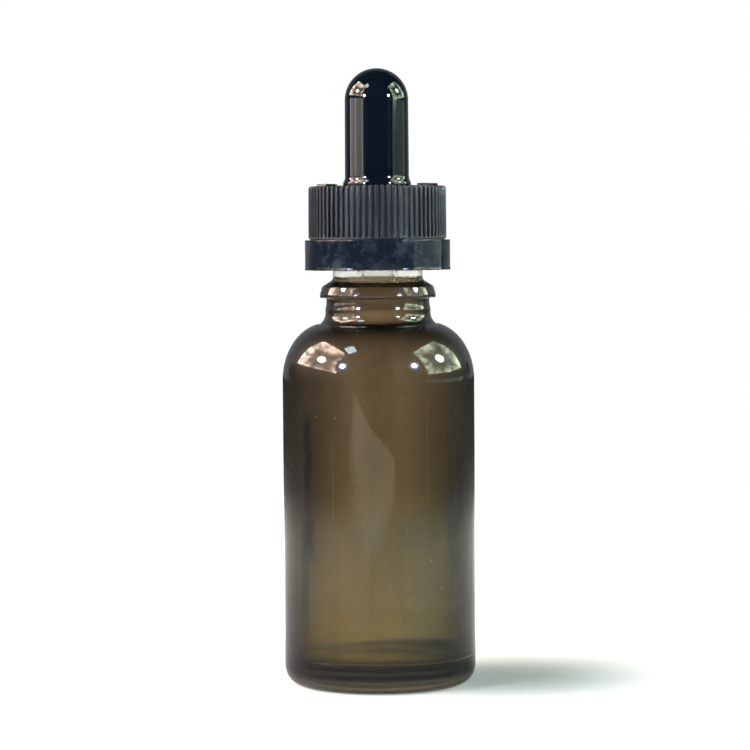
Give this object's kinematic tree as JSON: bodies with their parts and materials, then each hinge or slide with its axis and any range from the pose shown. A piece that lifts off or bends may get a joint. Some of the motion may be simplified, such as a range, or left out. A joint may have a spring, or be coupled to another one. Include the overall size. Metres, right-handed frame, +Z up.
{
  "type": "ink bottle",
  "caption": "Round-shouldered glass ink bottle with a smoked coating and a black child-resistant dropper cap: rubber bulb, ribbed cap, tamper ring and glass pipette.",
  "frame": {"origin": "centre of the base, on the plane the bottle stands on", "axes": "+Z up along the bottle's and the closure's common axis; X and Y are equivalent apart from the thread start and the raised arrows"},
  "size_m": [0.033, 0.033, 0.1059],
  "materials": {
    "smoked_glass": "clear glass with a thin smoked olive-brown film on its outside, left bare above the transfer bead",
    "clear_glass": "clear, fire-polished",
    "bulb_rubber": "glossy moulded rubber",
    "inner_cap_plastic": "moulded, satin",
    "ribbed_cap_plastic": "satin with fine vertical ribs",
    "ring_plastic": "glossy, slightly mottled"
  },
  "bodies": {
    "bottle": {"bottle": "smoked_glass"},
    "dropper": {"rubber_bulb": "bulb_rubber", "pipette": "clear_glass"},
    "inner_cap": {"inner_cap": "inner_cap_plastic"},
    "outer_cap": {"outer_cap": "ribbed_cap_plastic"},
    "tamper_ring": {"tamper_ring": "ring_plastic"}
  },
  "joints": [
    {"name": "closure_lift", "type": "slide", "parent": "bottle", "child": "dropper", "axis": [0, 0, 1], "range_m": [0, 0.0028]},
    {"name": "closure_turn", "type": "hinge", "parent": "dropper", "child": "inner_cap", "pos_m": [0, 0, 0.08], "axis": [0, 0, 1], "range_deg": [0, 400]},
    {"name": "push_down", "type": "slide", "parent": "inner_cap", "child": "outer_cap", "axis": [0, 0, -1], "range_m": [0, 0.0009], "stiffness_N_per_m": 500},
    {"name": "ring_turn", "type": "hinge", "parent": "bottle", "child": "tamper_ring", "pos_m": [0, 0, 0.074], "axis": [0, 0, 1], "continuous": true}
  ],
  "couplings": [
    {"joint": "closure_lift", "follows": "closure_turn", "m_per_rad": 0.00039789}
  ]
}
